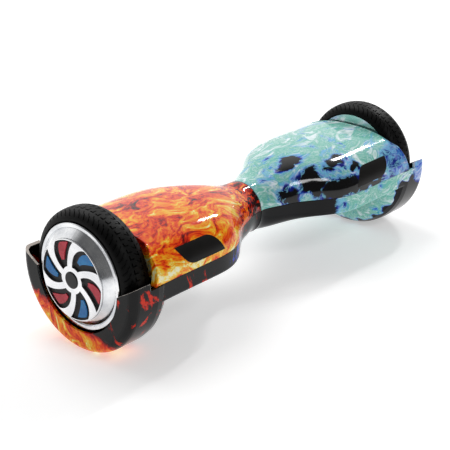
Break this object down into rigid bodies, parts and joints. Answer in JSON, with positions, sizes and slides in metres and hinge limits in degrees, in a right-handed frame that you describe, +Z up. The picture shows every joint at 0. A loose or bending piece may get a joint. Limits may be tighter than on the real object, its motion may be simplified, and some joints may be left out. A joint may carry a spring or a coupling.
{
  "type": "self-balancing hoverboard",
  "caption": "Two-wheel self-balancing board with a twisting middle, hub-motor wheels, moulded fenders and foot mats, stored turned over on its fenders.",
  "frame": {"origin": "on the floor under the middle of the board, which lies turned over on its two fenders", "axes": "+X along the wheel axle towards the ice-printed half, -Y is the face with the light windows, +Z up; the board's riding up direction is -Z"},
  "size_m": [0.616, 0.1946, 0.178],
  "materials": {
    "battery_wrap": "shrink wrap",
    "black_plastic": "matt",
    "blue_plastic": "satin",
    "cast_aluminium": "cast",
    "circuit": "circuit board",
    "copper": "enamelled windings",
    "flame_print": "glossy flame transfer print",
    "ice_print": "glossy ice transfer print",
    "magnet": "nickel plated",
    "mat_rubber": "matt rubber",
    "polished_aluminium": "polished",
    "red_plastic": "satin",
    "steel": "turned",
    "tyre": "ribbed rubber",
    "window": "matt black lens"
  },
  "bodies": {
    "flame_half": {"flame_bottom_cover": "flame_print", "flame_top_cover": "flame_print", "flame_frame": "cast_aluminium", "flame_light_window": "window", "flame_light_board": "circuit", "flame_sensor_board": "circuit", "flame_axle_clamp": "cast_aluminium", "flame_clamp_bolts": "steel", "flame_cover_screws": "steel", "flame_axle": "steel", "flame_stator": "copper", "flame_motor_lead": "black_plastic", "pivot_tube": "steel", "pivot_ring": "steel", "control_board": "circuit", "speaker": "black_plastic", "charging_socket": "black_plastic", "status_window": "window", "wire_harness": "black_plastic"},
    "ice_half": {"ice_bottom_cover": "ice_print", "ice_top_cover": "ice_print", "ice_frame": "cast_aluminium", "ice_light_window": "window", "ice_light_board": "circuit", "ice_sensor_board": "circuit", "ice_axle_clamp": "cast_aluminium", "ice_clamp_bolts": "steel", "ice_cover_screws": "steel", "ice_axle": "steel", "ice_stator": "copper", "ice_motor_lead": "black_plastic", "pivot_bushing": "steel", "battery_pack": "battery_wrap"},
    "flame_wheel": {"flame_tyre": "tyre", "flame_rim": "polished_aluminium", "flame_magnet_ring": "magnet", "flame_motor_cover": "polished_aluminium", "flame_bearings": "steel", "flame_hub_cover": "polished_aluminium", "flame_hub_backing": "black_plastic", "flame_hub_red_inserts": "red_plastic", "flame_hub_blue_inserts": "blue_plastic", "flame_centre_cap": "black_plastic"},
    "ice_wheel": {"ice_tyre": "tyre", "ice_rim": "polished_aluminium", "ice_magnet_ring": "magnet", "ice_motor_cover": "polished_aluminium", "ice_bearings": "steel", "ice_hub_cover": "polished_aluminium", "ice_hub_backing": "black_plastic", "ice_hub_red_inserts": "red_plastic", "ice_hub_blue_inserts": "blue_plastic", "ice_centre_cap": "black_plastic"},
    "flame_foot_pad": {"flame_foot_mat": "mat_rubber", "flame_foot_switches": "mat_rubber"},
    "ice_foot_pad": {"ice_foot_mat": "mat_rubber", "ice_foot_switches": "mat_rubber"},
    "power_button": {"power_button": "black_plastic"},
    "charging_cap": {"charging_cap": "mat_rubber"}
  },
  "joints": [
    {"name": "flame_wheel_spin", "type": "hinge", "parent": "flame_half", "child": "flame_wheel", "pos_m": [-0.272, 0, 0.0955], "axis": [-1, 0, 0], "continuous": true},
    {"name": "ice_wheel_spin", "type": "hinge", "parent": "ice_half", "child": "ice_wheel", "pos_m": [0.272, 0, 0.0955], "axis": [1, 0, 0], "continuous": true},
    {"name": "centre_twist", "type": "hinge", "parent": "flame_half", "child": "ice_half", "pos_m": [0, 0, 0.0955], "axis": [1, 0, 0], "range_deg": [-12, 12]},
    {"name": "flame_mat_press", "type": "slide", "parent": "flame_half", "child": "flame_foot_pad", "axis": [0, 0, 1], "range_m": [0, 0.0015], "stiffness_N_per_m": 6000, "springref_m": -0.0005},
    {"name": "ice_mat_press", "type": "slide", "parent": "ice_half", "child": "ice_foot_pad", "axis": [0, 0, 1], "range_m": [0, 0.0015], "stiffness_N_per_m": 6000, "springref_m": -0.0005},
    {"name": "power_button_press", "type": "slide", "parent": "flame_half", "child": "power_button", "axis": [0, -1, 0], "range_m": [0, 0.0015], "stiffness_N_per_m": 800, "springref_m": -0.0005},
    {"name": "charging_cap_hinge", "type": "hinge", "parent": "flame_half", "child": "charging_cap", "pos_m": [-0.192, 0.0899, 0.1245], "axis": [1, 0, 0], "range_deg": [0, 100]}
  ]
}
